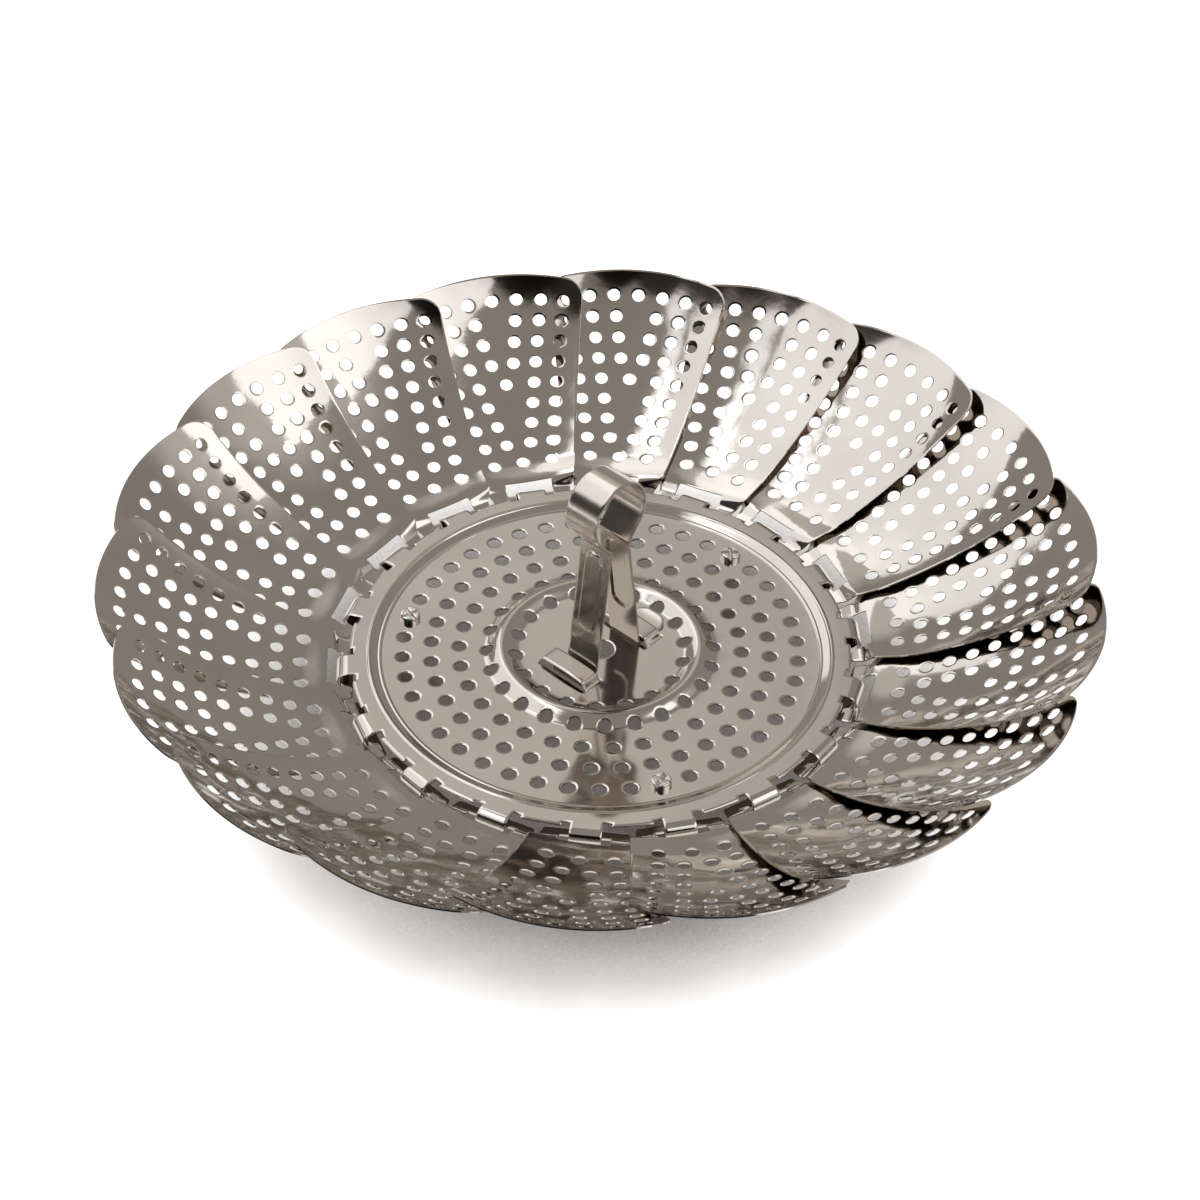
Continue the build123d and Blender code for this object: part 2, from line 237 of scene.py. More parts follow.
# Room: one warm grey with paler, darker and lamp-bright patches, each as its azimuth and
# elevation, the angles where it is full and where it ends, all in degrees, and its level. A patch
# above the level of white has the tint of the lamps, and the others have that of the walls.
ROOM_COLOUR = (0.44, 0.42, 0.398, 1)
LAMP_TINT = (0.94, 0.99, 1.05)
WALL_TINT = (1, 0.985, 0.965)
WHITE_LEVEL = 1
ROOM_PATCHES = (
    (-12, 46, 7, 21, 0.88),
    (96, 42, 8, 30, 0.85),
    (-106, 24, 15, 21, 0.07),
    (-124, 34, 14, 19, 0.06),
    (-147, 42, 13, 18, 0.04),
    (-176, 45, 13, 18, 0.01),
    (158, 41, 11, 17, 0.02),
    (-122, 56, 1, 6, 1.7),
    (-112, 62, 1, 6, 1.9),
    (-96, 67, 1, 6, 2.7),
    (-76, 70, 1, 6, 3),
    (-54, 69, 1, 6, 3),
    (-37, 65, 1, 6, 2.6),
)
LAMP_POWER = 4

# Camera: the angles in radians, the distances in metres, the lens and the place of the middle of
# the view in the photograph's pixels, and the sensor in millimetres
CAMERA_AZIMUTH = radians(-137.5)
CAMERA_ELEVATION = 0.737428
CAMERA_ROLL = -0.015225
CAMERA_DISTANCE = 0.6175
NEAREST_SEEN = 0.01
FARTHEST_SEEN = 50
PHOTO_WIDTH = 1200
FOCAL_PIXELS = 2683.5
CENTRE_PIXEL = (600.57, 648.86)
SENSOR = 36

# Worked out from the sizes above
HALF_PLATE = PLATE_SHEET / 2
PLATE_TOP = PLATE_LEVEL + HALF_PLATE
RIM_LEVEL = PLATE_LEVEL + RIM_RISE
HINGE_LEVEL = RIM_LEVEL - BAR_CLEARANCE - HALF_PLATE
PETAL_TURN = 2 * pi / PETAL_COUNT
BEND_RADIUS = PETAL_LENGTH / (TIP_SLOPE - ROOT_SLOPE)
SIDE_SLOPE = (TIP_HALF_WIDTH - SHOULDER_HALF_WIDTH) / (PETAL_LENGTH - SHOULDER)
HOOK_LENGTH = HOOK_RADIUS * HOOK_SWEEP
TAB_END = HOOK_START + HOOK_LENGTH + CURL_RADIUS * CURL_SWEEP
BRIDGE_MIDDLE = LEG_SPREAD + HANDLE_SHEET / 2 + BRIDGE_LEG_GAP + BRIDGE_WIDTH / 2
BRIDGE_RISE = BRIDGE_GAP + HANDLE_SHEET + PLATE_SHEET
X_WAY = Vector((1, 0, 0))
Y_WAY = Vector((0, 1, 0))
Z_WAY = Vector((0, 0, 1))

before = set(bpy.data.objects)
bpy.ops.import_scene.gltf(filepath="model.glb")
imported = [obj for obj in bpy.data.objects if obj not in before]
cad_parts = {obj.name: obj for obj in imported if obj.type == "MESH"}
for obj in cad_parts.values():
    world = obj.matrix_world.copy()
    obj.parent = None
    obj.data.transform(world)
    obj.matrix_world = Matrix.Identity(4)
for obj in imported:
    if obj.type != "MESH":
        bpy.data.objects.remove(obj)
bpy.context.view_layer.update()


def steps(first, last, count):
    """Evenly spaced values from first to last, both counted."""
    return [first + (last - first) * index / count for index in range(count + 1)]


def spaced(first, last, gap):
    """Evenly spaced values about gap apart."""
    return steps(first, last, max(1, round((last - first) / gap)))


def both_ways(values):
    """The values, and the same ones on the other side of zero."""
    return values + [-value for value in values]


def smooth(share):
    """Smooth rise from 0 to 1."""
    share = min(1.0, max(0.0, share))
    return share * share * (3 - 2 * share)


def soft_rise(value, softness):
    """Zero below zero and the value above it, with a soft corner between."""
    return (value + sqrt(value * value + softness * softness)) / 2


def arc(centre_x, centre_y, radius, start, stop, spans):
    """Points along an arc."""
    turns = steps(start, stop, spans)
    return [(centre_x + radius * cos(turn), centre_y + radius * sin(turn)) for turn in turns]


# Flat blanks

def closed_row(blank, points):
    """One closed outline in a flat blank."""
    corners = [blank.verts.new((x, y, 0)) for x, y in points]
    for index, corner in enumerate(corners):
        blank.edges.new((corners[index - 1], corner))


def flat_blank(rows, holes):
    """Flat sheet inside its outlines, with its round holes cut."""
    blank = bmesh.new()
    for row in rows:
        closed_row(blank, row)
    for x, y, radius in holes:
        place = Matrix.Translation((x, y, 0))
        bmesh.ops.create_circle(blank, segments=HOLE_SIDES, radius=radius, matrix=place)
    bmesh.ops.triangle_fill(blank, use_beauty=True, edges=blank.edges[:], normal=Z_WAY)
    blank.normal_update()
    bmesh.ops.reverse_faces(blank, faces=[face for face in blank.faces if face.normal.z < 0])
    return blank


def ring_edges(blank):
    """Rings of faces along every edge, and how much of the roll each point takes: all of it on the
    edge, a share of it on the first ring inside, and none further in."""
    made = set()
    for width in EDGE_RINGS:
        inner = [face for face in blank.faces if face not in made]
        ring = bmesh.ops.inset_region(
            blank, faces=inner, thickness=width, use_boundary=True, use_even_offset=True
        )
        made.update(ring["faces"])
    rolled = blank.verts.layers.float.new("edge")
    for vert in blank.verts:
        if vert.is_boundary:
            vert[rolled] = 1
        elif any(edge.other_vert(vert).is_boundary for edge in vert.link_edges):
            vert[rolled] = FIRST_RING_SHARE


def cut_lines(blank, way, places):
    """Straight cuts across the blank, square to a direction, so that it can bend there."""
    for place in places:
        bmesh.ops.bisect_plane(
            blank,
            geom=blank.verts[:] + blank.edges[:] + blank.faces[:],
            dist=TOUCH,
            plane_co=way * place,
            plane_no=way,
        )


def cut_circles(blank, radii):
    """Round cuts about the middle, made as level cuts while the blank is lifted to a cone."""
    for vert in blank.verts:
        vert.co.z = hypot(vert.co.x, vert.co.y)
    cut_lines(blank, Z_WAY, radii)
    for vert in blank.verts:
        vert.co.z = 0


def finished_mesh(shape, name):
    """Shades a shape smooth up to its creases and brings it to metres."""
    bmesh.ops.recalc_face_normals(shape, faces=shape.faces[:])
    for edge in shape.edges:
        edge.smooth = not edge.is_manifold or edge.calc_face_angle(0) < CREASE
    for face in shape.faces:
        face.smooth = True
    bmesh.ops.scale(shape, vec=(MM, MM, MM), verts=shape.verts)
    mesh = bpy.data.meshes.new(name)
    shape.to_mesh(mesh)
    shape.free()
    return mesh


def bent_mesh(blank, name, thickness, roll, place):
    """Gives the blank its thickness and bends it by place(x, y, height)."""
    bmesh.ops.triangulate(blank, faces=blank.faces[:])
    bmesh.ops.solidify(blank, geom=blank.faces[:], thickness=thickness)
    heights = [vert.co.z for vert in blank.verts]
    middle = (max(heights) + min(heights)) / 2
    rolled = blank.verts.layers.float["edge"]
    normals = []
    for vert in blank.verts:
        x, y, height = vert.co
        if height > middle:
            offset = thickness / 2 - roll * vert[rolled]
        else:
            offset = UNDER_ROLL * vert[rolled] - thickness / 2
        if vert[rolled] > TOUCH:
            normals.append(None)
        else:
            origin = place(x, y, 0)
            along = place(x + SLOPE_STEP, y, 0) - origin
            across = place(x, y + SLOPE_STEP, 0) - origin
            normals.append(along.cross(across).normalized())
        vert.co = place(x, y, offset)
    mesh = finished_mesh(blank, name)
    set_true_normals(mesh, normals)
    return mesh


def set_true_normals(mesh, normals):
    """Gives the broad faces the exact normals of the bent sheet, so that it mirrors cleanly. A
    corner that is left at zero keeps its own normal."""
    made = [Vector((0, 0, 0))] * len(mesh.loops)
    for face in mesh.polygons:
        for loop in face.loop_indices:
            normal = normals[mesh.loops[loop].vertex_index]
            if normal is not None and abs(normal.dot(face.normal)) > cos(CREASE):
                made[loop] = normal if normal.dot(face.normal) > 0 else -normal
    mesh.normals_split_custom_set(made)


# Petals

def petal_place(along, across, height):
    """Where a point of the flat petal lies, seen from its hinge axis. The petal bends along its
    length, is hollow and tilted across beyond its neck, and steps up at its shoulder."""
    slope = ROOT_SLOPE + along / BEND_RADIUS
    blend = smooth((along - NECK_START) / (SHOULDER - NECK_START))
    turn = across / CROSS_RADIUS - PETAL_TILT
    side = CROSS_RADIUS * (sin(PETAL_TILT) + sin(turn))
    rise = CROSS_RADIUS * (cos(PETAL_TILT) - cos(turn))
    side = across + (side - across) * blend
    rise = rise * blend + height * cos(turn * blend)
    side = side - height * sin(turn * blend)
    out = BEND_RADIUS * (sin(slope) - sin(ROOT_SLOPE)) - sin(slope) * rise
    up = BEND_RADIUS * (cos(ROOT_SLOPE) - cos(slope)) + cos(slope) * rise
    started = smooth((along - ROOT_STEP_START) / (ROOT_STEP_END - ROOT_STEP_START))
    lifted = started * (1 - smooth((along - SHOULDER) / (ROOT_BLEND_END - SHOULDER)))
    return Vector((out - ROOT_PULL * lifted, side, up + ROOT_LIFT * lifted))


def petal_outline():
    """Outline of the flat petal, from its hinge bar to its tip and back. The round corners touch
    both the straight side and the arc of the tip."""
    steep = sqrt(1 + SIDE_SLOPE ** 2)
    edge_middle = PETAL_LENGTH - TIP_EDGE_RADIUS
    width = SHOULDER_HALF_WIDTH + SIDE_SLOPE * (edge_middle - SHOULDER) - CORNER_RADIUS * steep
    reach = TIP_EDGE_RADIUS - CORNER_RADIUS
    product = width * SIDE_SLOPE
    root = sqrt(product ** 2 - steep ** 2 * (width ** 2 - reach ** 2))
    ahead = (root - product) / steep ** 2
    corner_y = width + SIDE_SLOPE * ahead
    turn_start = atan2(1, -SIDE_SLOPE)
    turn_stop = atan2(corner_y, ahead)
    half = [
        (-BAR_HALF_DEPTH, BAR_HALF_WIDTH - BAR_CHAMFER),
        (BAR_CHAMFER - BAR_HALF_DEPTH, BAR_HALF_WIDTH),
        (NECK_START, NECK_HALF_WIDTH),
        (SHOULDER, SHOULDER_HALF_WIDTH),
    ]
    corner_x = edge_middle + ahead
    half += arc(corner_x, corner_y, CORNER_RADIUS, turn_start, turn_stop, PETAL_CORNER_SPANS)
    tip = arc(edge_middle, 0, TIP_EDGE_RADIUS, turn_stop, -turn_stop, PETAL_TIP_SPANS)
    other = [(x, -y) for x, y in reversed(half)]
    return half + tip[1:-1] + other


def petal_window():
    """Outline of the window that leaves the hinge bar free, with small round corners."""
    low_x = BAR_HALF_DEPTH + WINDOW_CORNER
    high_x = BAR_HALF_DEPTH + WINDOW_DEPTH - WINDOW_CORNER
    high_y = WINDOW_HALF_WIDTH - WINDOW_CORNER
    corners = ((high_x, high_y), (low_x, high_y), (low_x, -high_y), (high_x, -high_y))
    quarter = pi / 2
    points = []
    for number, (x, y) in enumerate(corners):
        start = number * quarter
        stop = (number + 1) * quarter
        points += arc(x, y, WINDOW_CORNER, start, stop, WINDOW_CORNER_SPANS)
    return points


def petal_holes():
    """Middle and radius of each hole of a flat petal, in splayed columns whose rows sag with the
    arc of the tip."""
    last_row = PETAL_LENGTH - TIP_ROW_INSET - (ROW_COUNT - 1) * ROW_STEP
    drift = ROW_STEP * COLUMN_SPLAY
    closest = LAST_ROW_SPREAD + (ROW_COUNT - INNER_ROWS) * drift - 2 * ROW_STEP
    holes = []
    for row in range(1, ROW_COUNT + 1):
        outer = LAST_ROW_SPREAD + (ROW_COUNT - row) * drift
        offsets = [outer]
        if row <= MIDDLE_ROWS:
            offsets.append(outer - ROW_STEP)
        if row <= INNER_ROWS:
            offsets.append(closest + (INNER_ROWS - row) * drift * INNER_SPLAY_SHARE)
        offsets = both_ways(offsets)
        if row in MIDDLE_HOLE_ROWS:
            offsets.append(0)
        for offset in offsets:
            sag = TIP_EDGE_RADIUS - sqrt(TIP_EDGE_RADIUS ** 2 - offset ** 2)
            along = last_row + (ROW_COUNT - row) * ROW_STEP - sag
            holes.append((along, offset, PETAL_HOLE_RADIUS))
    return holes


def petal_mesh():
    """One petal at its hinge axis."""
    blank = flat_blank([petal_outline(), petal_window()], petal_holes())
    ring_edges(blank)
    cut_lines(blank, X_WAY, spaced(0, SHOULDER, ROOT_CUT_GAP))
    cut_lines(blank, X_WAY, spaced(SHOULDER, PETAL_LENGTH, PETAL_CUT_GAP)[1:-1])
    cut_lines(blank, Y_WAY, spaced(-TIP_HALF_WIDTH, TIP_HALF_WIDTH, PETAL_CUT_GAP))
    return bent_mesh(blank, "petal", PETAL_SHEET, PETAL_ROLL, petal_place)


def petal_matrix(index):
    """Place of one petal's hinge in metres: x out over the petal, y along its bar."""
    turn = Matrix.Rotation(index * PETAL_TURN, 4, "Z")
    shift = Matrix.Translation(Vector((HINGE_RADIUS, 0, HINGE_LEVEL)) * MM)
    return turn @ shift @ Matrix.Rotation(-HINGE_SKEW, 4, "Z")


# Base plate

def from_hinge(index, along, across):
    """A point of one hinge's flat frame, seen from the middle of the plate."""
    turn = Matrix.Rotation(index * PETAL_TURN, 2)
    skew = Matrix.Rotation(-HINGE_SKEW, 2)
    spot = turn @ (skew @ Vector((along, across)) + Vector((HINGE_RADIUS, 0)))
    return spot.x, spot.y


def to_hinge(index, x, y):
    """A point of the flat plate, seen in one hinge's flat frame."""
    turn = Matrix.Rotation(-index * PETAL_TURN, 2)
    skew = Matrix.Rotation(HINGE_SKEW, 2)
    spot = skew @ (turn @ Vector((x, y)) - Vector((HINGE_RADIUS, 0)))
    return spot.x, spot.y


def plate_rise(radius):
    """Height of the plate's ring bead, step and fine lines above its floor."""
    from_crest = abs(radius - BEAD_RADIUS)
    eased = sqrt(from_crest ** 2 + BEAD_CREST_SOFTNESS ** 2) - BEAD_CREST_SOFTNESS
    eased_end = sqrt(BEAD_HALF_WIDTH ** 2 + BEAD_CREST_SOFTNESS ** 2) - BEAD_CREST_SOFTNESS
    slope = BEAD_RISE / eased_end
    bead = soft_rise(BEAD_RISE - slope * eased, BEAD_FOOT_SOFTNESS)
    rate = RIM_RISE / (STEP_END - STEP_START)
    lower = soft_rise(radius - STEP_START, STEP_SOFTNESS)
    upper = soft_rise(radius - STEP_END, STEP_SOFTNESS)
    lines = sum(smooth(1 - abs(radius - line) / LINE_HALF_WIDTH) for line in STEP_LINES)
    return bead + rate * (lower - upper) + LINE_RISE * lines


def bridge_rise(x, y):
    """Extra height on the two bridges over the handle's feet."""
    if abs(abs(x) - BRIDGE_MIDDLE) > (BRIDGE_WIDTH + SLOT_WIDTH) / 2:
        return 0
    outer = BRIDGE_LENGTH / 2 + BRIDGE_RAMP
    rate = BRIDGE_RISE / BRIDGE_RAMP
    from_end = outer - abs(y)
    lower = soft_rise(from_end, BRIDGE_SOFTNESS)
    upper = soft_rise(from_end - BRIDGE_RAMP, BRIDGE_SOFTNESS)
    crown = BRIDGE_CROWN * max(0, 1 - (y / outer) ** 2)
    return crown + rate * (lower - upper)


def hook_place(along, height):
    """Where a point of a tab lies beyond the start of its hook: outwards, and above the rim."""
    radius = HOOK_RADIUS
    turn = min(along / HOOK_RADIUS, HOOK_SWEEP)
    middle = Vector((HOOK_START, -HOOK_RADIUS))
    if along > HOOK_LENGTH:
        radius = CURL_RADIUS
        middle += Vector((sin(HOOK_SWEEP), cos(HOOK_SWEEP))) * (HOOK_RADIUS - CURL_RADIUS)
        turn += (along - HOOK_LENGTH) / CURL_RADIUS
    return middle + Vector((sin(turn), cos(turn))) * (radius + height)


def rim_place(x, y, height):
    """Where a point of the plate's rolled lip or of a hook lies, and nothing for other points."""
    radius = hypot(x, y)
    index = round(atan2(y, x) / PETAL_TURN)
    along, across = to_hinge(index, x, y)
    if abs(across) > TAB_WIDTH / 2 + TOUCH:
        if radius > LIP_START:
            turned = (radius - LIP_START) / LIP_BEND
            moved = LIP_START + (LIP_BEND + height) * sin(turned)
            level = RIM_LEVEL - LIP_BEND + (LIP_BEND + height) * cos(turned)
            return Vector((x * moved / radius, y * moved / radius, level))
    elif along > HOOK_START:
        out, rise = hook_place(along - HOOK_START, height)
        return Vector((*from_hinge(index, out, across), RIM_LEVEL + rise))
    return None


def plate_place(x, y, height):
    """Where a point of the flat plate lies, with its tabs hooked round the hinge bars."""
    radius = hypot(x, y)
    if radius < TOUCH:
        return Vector((x, y, PLATE_LEVEL + height))
    if radius > STEP_END + STEP_SOFTNESS:
        spot = rim_place(x, y, height)
        if spot is not None:
            return spot
    rise = plate_rise(radius)
    slope = (plate_rise(radius + SLOPE_STEP) - rise) / SLOPE_STEP
    steep = sqrt(1 + slope ** 2)
    moved = radius - height * slope / steep
    level = PLATE_LEVEL + rise + bridge_rise(x, y) + height / steep
    return Vector((x * moved / radius, y * moved / radius, level))


def rim_crossing(index, across):
    """Where the line at this offset in a hinge's frame crosses the rim."""
    low = -RIM_RADIUS
    high = 0
    while high - low > TOUCH:
        middle = (low + high) / 2
        if hypot(*from_hinge(index, middle, across)) > RIM_RADIUS:
            high = middle
        else:
            low = middle
    return low


def tab_outline(index):
    """A straight tab with its two small notches, in one hinge's frame."""
    half = TAB_WIDTH / 2
    outer = half + NOTCH_WIDTH
    low = rim_crossing(index, -outer)
    high = rim_crossing(index, outer)
    return [
        (low, -outer),
        (low - NOTCH_DEPTH, -outer),
        (low - NOTCH_DEPTH, -half),
        (TAB_END - TAB_CORNER, -half),
        (TAB_END, TAB_CORNER - half),
        (TAB_END, half - TAB_CORNER),
        (TAB_END - TAB_CORNER, half),
        (high - NOTCH_DEPTH, half),
        (high - NOTCH_DEPTH, outer),
        (high, outer),
    ]


def plate_outline():
    """Rim of the flat plate, with a tab at each hinge."""
    first_x, first_y = from_hinge(0, *tab_outline(0)[0])
    first = atan2(first_y, first_x)
    points = []
    for index in range(PETAL_COUNT):
        points += [from_hinge(index, along, across) for along, across in tab_outline(index)]
        last_x, last_y = points[-1]
        start = atan2(last_y, last_x)
        following = (index + 1) * PETAL_TURN + first
        if following - start > PETAL_TURN:
            following -= 2 * pi
        points += arc(0, 0, RIM_RADIUS, start, following, RIM_SPANS)[1:-1]
    return points


def bridge_slots():
    """The two slits beside each bridge."""
    rows = []
    half = BRIDGE_LENGTH / 2 + BRIDGE_RAMP
    for way in (-1, 1):
        for side in (-1, 1):
            x = way * BRIDGE_MIDDLE + side * (BRIDGE_WIDTH + SLOT_WIDTH) / 2
            low = x - SLOT_WIDTH / 2
            high = x + SLOT_WIDTH / 2
            rows.append([(low, -half), (high, -half), (high, half), (low, half)])
    return rows


def plate_holes():
    """Middle and radius of each round hole of the plate."""
    holes = [(0, 0, CENTRE_HOLE_RADIUS)]
    for ring in range(RING_COUNT):
        radius = FIRST_RING_RADIUS + ring * RING_STEP
        count = FIRST_RING_HOLES + ring * HOLES_ADDED
        for number in range(count):
            turn = 2 * pi * number / count
            holes.append((radius * cos(turn), radius * sin(turn), PLATE_HOLE_RADIUS))
    return holes


def plate_mesh():
    """The base plate, its bridges and its hooked tabs as one sheet."""
    blank = flat_blank([plate_outline()] + bridge_slots(), plate_holes())
    ring_edges(blank)
    for way in (X_WAY, Y_WAY):
        cut_lines(blank, way, spaced(-RIM_RADIUS, RIM_RADIUS, PLATE_CUT_GAP))
    ramp_start = BRIDGE_LENGTH / 2 - BRIDGE_CUT_MARGIN
    ramp_end = BRIDGE_LENGTH / 2 + BRIDGE_RAMP + BRIDGE_CUT_MARGIN
    cut_lines(blank, Y_WAY, both_ways(spaced(ramp_start, ramp_end, BRIDGE_CUT_GAP)))
    cut_lines(blank, Y_WAY, steps(-BRIDGE_CROWN_REACH, BRIDGE_CROWN_REACH, BRIDGE_CROWN_SPANS))
    bead_start = BEAD_RADIUS - BEAD_HALF_WIDTH - ROUND_CUT_MARGIN
    bead_end = BEAD_RADIUS + BEAD_HALF_WIDTH + ROUND_CUT_MARGIN
    cut_circles(blank, spaced(bead_start, bead_end, BEAD_CUT_GAP))
    lines_start = STEP_LINES[0] - ROUND_CUT_MARGIN
    lines_end = STEP_LINES[1] + ROUND_CUT_MARGIN
    cut_circles(blank, spaced(lines_start, lines_end, STEP_CUT_GAP))
    cut_circles(blank, spaced(LIP_START, HINGE_RADIUS + HOOK_START, LIP_CUT_GAP))
    cut_circles(blank, spaced(HINGE_RADIUS + HOOK_START, HINGE_RADIUS + TAB_END, HOOK_CUT_GAP))
    return bent_mesh(blank, "plate", PLATE_SHEET, PLATE_ROLL, plate_place)


# Handle

def rounded_path(points, radii):
    """Straight runs joined by bends, each as a start, a heading, a length and a turn rate."""
    runs = []
    spots = [Vector(point) for point in points]
    start = spots[0]
    for before, spot, after, radius in zip(spots, spots[1:], spots[2:], radii):
        way = (spot - before).normalized()
        heading = atan2(way.y, way.x)
        next_way = (after - spot).normalized()
        turn = atan2(way.x * next_way.y - way.y * next_way.x, way.dot(next_way))
        back = radius * abs(sin(turn / 2) / cos(turn / 2))
        bend_start = spot - way * back
        bend_length = abs(turn) * radius
        runs.append((start, heading, (bend_start - start).length, 0))
        runs.append((bend_start, heading, bend_length, turn / bend_length))
        start = spot + next_way * back
    way = (spots[-1] - spots[-2]).normalized()
    runs.append((start, atan2(way.y, way.x), (spots[-1] - start).length, 0))
    return runs


def handle_runs():
    """The middle line of the strip, from the front foot over the loop to the back foot."""
    loop = LOOP_RADIUS - HANDLE_SHEET / 2
    loop_height = PLATE_TOP + HANDLE_HEIGHT - LOOP_RADIUS
    sole = PLATE_TOP + HANDLE_SHEET / 2
    leave_x = loop * cos(LOOP_END)
    leave_z = loop_height - loop * sin(LOOP_END)
    neck_z = leave_z - (leave_x - NECK_HALF_GAP) / sin(LOOP_END) * cos(LOOP_END)
    front_foot = (-LEG_SPREAD - FRONT_FOOT, sole)
    back_foot = (LEG_SPREAD + BACK_FOOT, sole)
    front = rounded_path(
        [front_foot, (-LEG_SPREAD, sole), (-NECK_HALF_GAP, neck_z), (-leave_x, leave_z)],
        [FOOT_BEND, NECK_BEND],
    )
    sweep = pi + 2 * LOOP_END
    ring = (Vector((-leave_x, leave_z)), pi / 2 + LOOP_END, loop * sweep, -1 / loop)
    back = rounded_path(
        [(leave_x, leave_z), (NECK_HALF_GAP, neck_z), (LEG_SPREAD, sole), back_foot],
        [NECK_BEND, FOOT_BEND],
    )
    return front + [ring] + back


HANDLE_RUNS = handle_runs()
STRIP_LENGTH = sum(run[2] for run in HANDLE_RUNS)


def rib_spans():
    """Where the middles of a rib's two round ends lie along the strip, for each leg."""
    near_foot = RIB_FOOT_GAP + RIB_WIDTH / 2
    near_neck = RIB_NECK_GAP + RIB_WIDTH / 2
    spans = []
    before = 0
    for number, run in enumerate(HANDLE_RUNS):
        after = before + run[2]
        if number == RUNS_BEFORE_LEG:
            spans.append((before + near_foot, after - near_neck))
        if number == len(HANDLE_RUNS) - 1 - RUNS_BEFORE_LEG:
            spans.append((before + near_neck, after - near_foot))
        before = after
    return spans


RIB_SPANS = rib_spans()


def rib_height(along, across):
    """How far the pressed ribs stand out of the strip."""
    most = 0
    for low, high in RIB_SPANS:
        beyond = max(low - along, along - high, 0)
        from_middle = hypot(beyond, across)
        most = max(most, 1 - smooth((from_middle - RIB_WIDTH / 2 + RIB_WALL) / RIB_WALL))
    return RIB_DEPTH * most


def handle_place(along, across, height):
    """Where a point of the flat strip lies on the bent handle."""
    left = along
    for run in HANDLE_RUNS:
        start, heading, length, rate = run
        if left <= length or run is HANDLE_RUNS[-1]:
            break
        left -= length
    turned = heading + rate * left
    if rate == 0:
        x = start.x + left * cos(heading)
        z = start.y + left * sin(heading)
    else:
        x = start.x + (sin(turned) - sin(heading)) / rate
        z = start.y + (cos(heading) - cos(turned)) / rate
    lifted = max(0, along - STRIP_LENGTH + FOOT_LIFT_LENGTH) / FOOT_LIFT_LENGTH
    out = height + rib_height(along, across) + FOOT_LIFT * lifted ** 2
    return Vector((x - out * sin(turned), HANDLE_SHIFT - across, z + out * cos(turned)))


def strip_outline():
    """Outline of the flat strip: small corners at the front foot, large ones at the back foot."""
    half = STRIP_WIDTH / 2
    near = STRIP_CORNER
    far = STRIP_LENGTH - FOOT_CORNER
    points = arc(near, near - half, STRIP_CORNER, pi, 1.5 * pi, STRIP_CORNER_SPANS)
    points += arc(far, FOOT_CORNER - half, FOOT_CORNER, -pi / 2, 0, FOOT_CORNER_SPANS)
    points += arc(far, half - FOOT_CORNER, FOOT_CORNER, 0, pi / 2, FOOT_CORNER_SPANS)
    points += arc(near, half - near, STRIP_CORNER, pi / 2, pi, STRIP_CORNER_SPANS)
    return points


def handle_mesh():
    """The handle: one strip, bent to a loop with two ribbed legs and two feet."""
    blank = flat_blank([strip_outline()], [])
    ring_edges(blank)
    places = []
    before = 0
    for _, _, length, rate in HANDLE_RUNS:
        gap = STRIP_CUT_TURN / abs(rate) if rate else STRIP_CUT_GAP
        places += spaced(before, before + length, gap)
        before += length
    for span in RIB_SPANS:
        for middle, way in zip(span, (-1, 1)):
            tip = middle + way * RIB_WIDTH / 2
            places += spaced(tip - RIB_WALL, tip + RIB_WALL, RIB_WALL_CUT_GAP)
            places += spaced(min(middle, tip), max(middle, tip), RIB_END_CUT_GAP)
    cut_lines(blank, X_WAY, sorted(places)[1:-1])
    side_start = RIB_WIDTH / 2 - RIB_WALL - RIB_SIDE_CUT_MARGIN
    side_end = RIB_WIDTH / 2 + RIB_SIDE_CUT_MARGIN
    cut_lines(blank, Y_WAY, both_ways(spaced(side_start, side_end, RIB_SIDE_CUT_GAP)))
    cut_lines(blank, Y_WAY, steps(-RIB_MIDDLE_REACH, RIB_MIDDLE_REACH, RIB_MIDDLE_SPANS))
    return bent_mesh(blank, "handle", HANDLE_SHEET, STRIP_ROLL, handle_place)


# Legs

def turned_mesh(name, profile, sides, reshape=None):
    """A turned piece from its profile in x and z, in millimetres about the z axis."""
    turned = bmesh.new()
    row = [turned.verts.new((x, 0, z)) for x, z in profile]
    edges = [turned.edges.new(pair) for pair in zip(row, row[1:])]
    bmesh.ops.spin(
        turned, geom=row + edges, cent=(0, 0, 0), axis=Z_WAY, angle=2 * pi, steps=sides,
        use_merge=True,
    )
    bmesh.ops.remove_doubles(turned, verts=turned.verts, dist=TOUCH)
    if reshape:
        for vert in turned.verts:
            vert.co = reshape(vert.co)
    return finished_mesh(turned, name)


def stake_shape(spot):
    """Presses the cross into the top of a stake head."""
    radius = hypot(spot.x, spot.y)
    angle = atan2(spot.y, spot.x)
    near = min(abs(radius * sin(angle - turn)) for turn in GROOVE_TURNS)
    deep = STAKE_DEPTH * (1 - smooth(near / STAKE_GROOVE))
    share = smooth((spot.z - PLATE_TOP) / STAKE_HEIGHT)
    return Vector((spot.x, spot.y, spot.z - deep * share))


def leg_mesh():
    """One turned post below the plate."""
    top = PLATE_LEVEL - HALF_PLATE
    profile = [
        (0, 0),
        (LEG_FOOT_RADIUS - LEG_CHAMFER, 0),
        (LEG_FOOT_RADIUS, LEG_CHAMFER),
        (LEG_RADIUS, LEG_TAPER),
        (LEG_RADIUS, top - LEG_CHAMFER / 2),
        (LEG_RADIUS - LEG_CHAMFER / 2, top),
        (0, top),
    ]
    return turned_mesh("leg", profile, LEG_SIDES)


